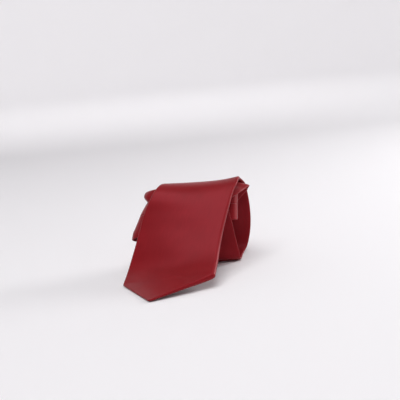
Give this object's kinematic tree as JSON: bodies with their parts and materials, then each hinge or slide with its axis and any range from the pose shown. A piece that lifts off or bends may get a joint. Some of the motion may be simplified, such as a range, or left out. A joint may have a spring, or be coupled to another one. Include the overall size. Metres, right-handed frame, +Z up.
{
  "type": "necktie",
  "caption": "Satin necktie folded up for display: the pointed blade hangs from the top of an upright roll, with the narrow end wound in a flat coil inside.",
  "frame": {"origin": "on the table, under the middle of the folded tie's bounding box", "axes": "+Z up, -Y from the roll towards the blade's point, +X to the side where the roll's open end shows its coil"},
  "size_m": [0.1126, 0.1166, 0.072],
  "materials": {
    "satin_shell": "satin weave, soft sheen",
    "pad_cloth": "brushed wool mix",
    "tipping_cloth": "smooth lining",
    "sewing_thread": "spun thread",
    "label_cloth": "woven tape"
  },
  "bodies": {
    "root": {"front_panel": "satin_shell", "neck_panel": "satin_shell", "tail_panel": "satin_shell", "keeper_loop": "satin_shell", "interlining": "pad_cloth", "front_tipping": "tipping_cloth", "tail_tipping": "tipping_cloth", "slip_stitch": "sewing_thread", "front_bar_tack": "sewing_thread", "tail_bar_tack": "sewing_thread", "keeper_stitch_left": "sewing_thread", "keeper_stitch_right": "sewing_thread", "label_stitch_left": "sewing_thread", "label_stitch_right": "sewing_thread", "blank_label": "label_cloth"}
  },
  "joints": []
}
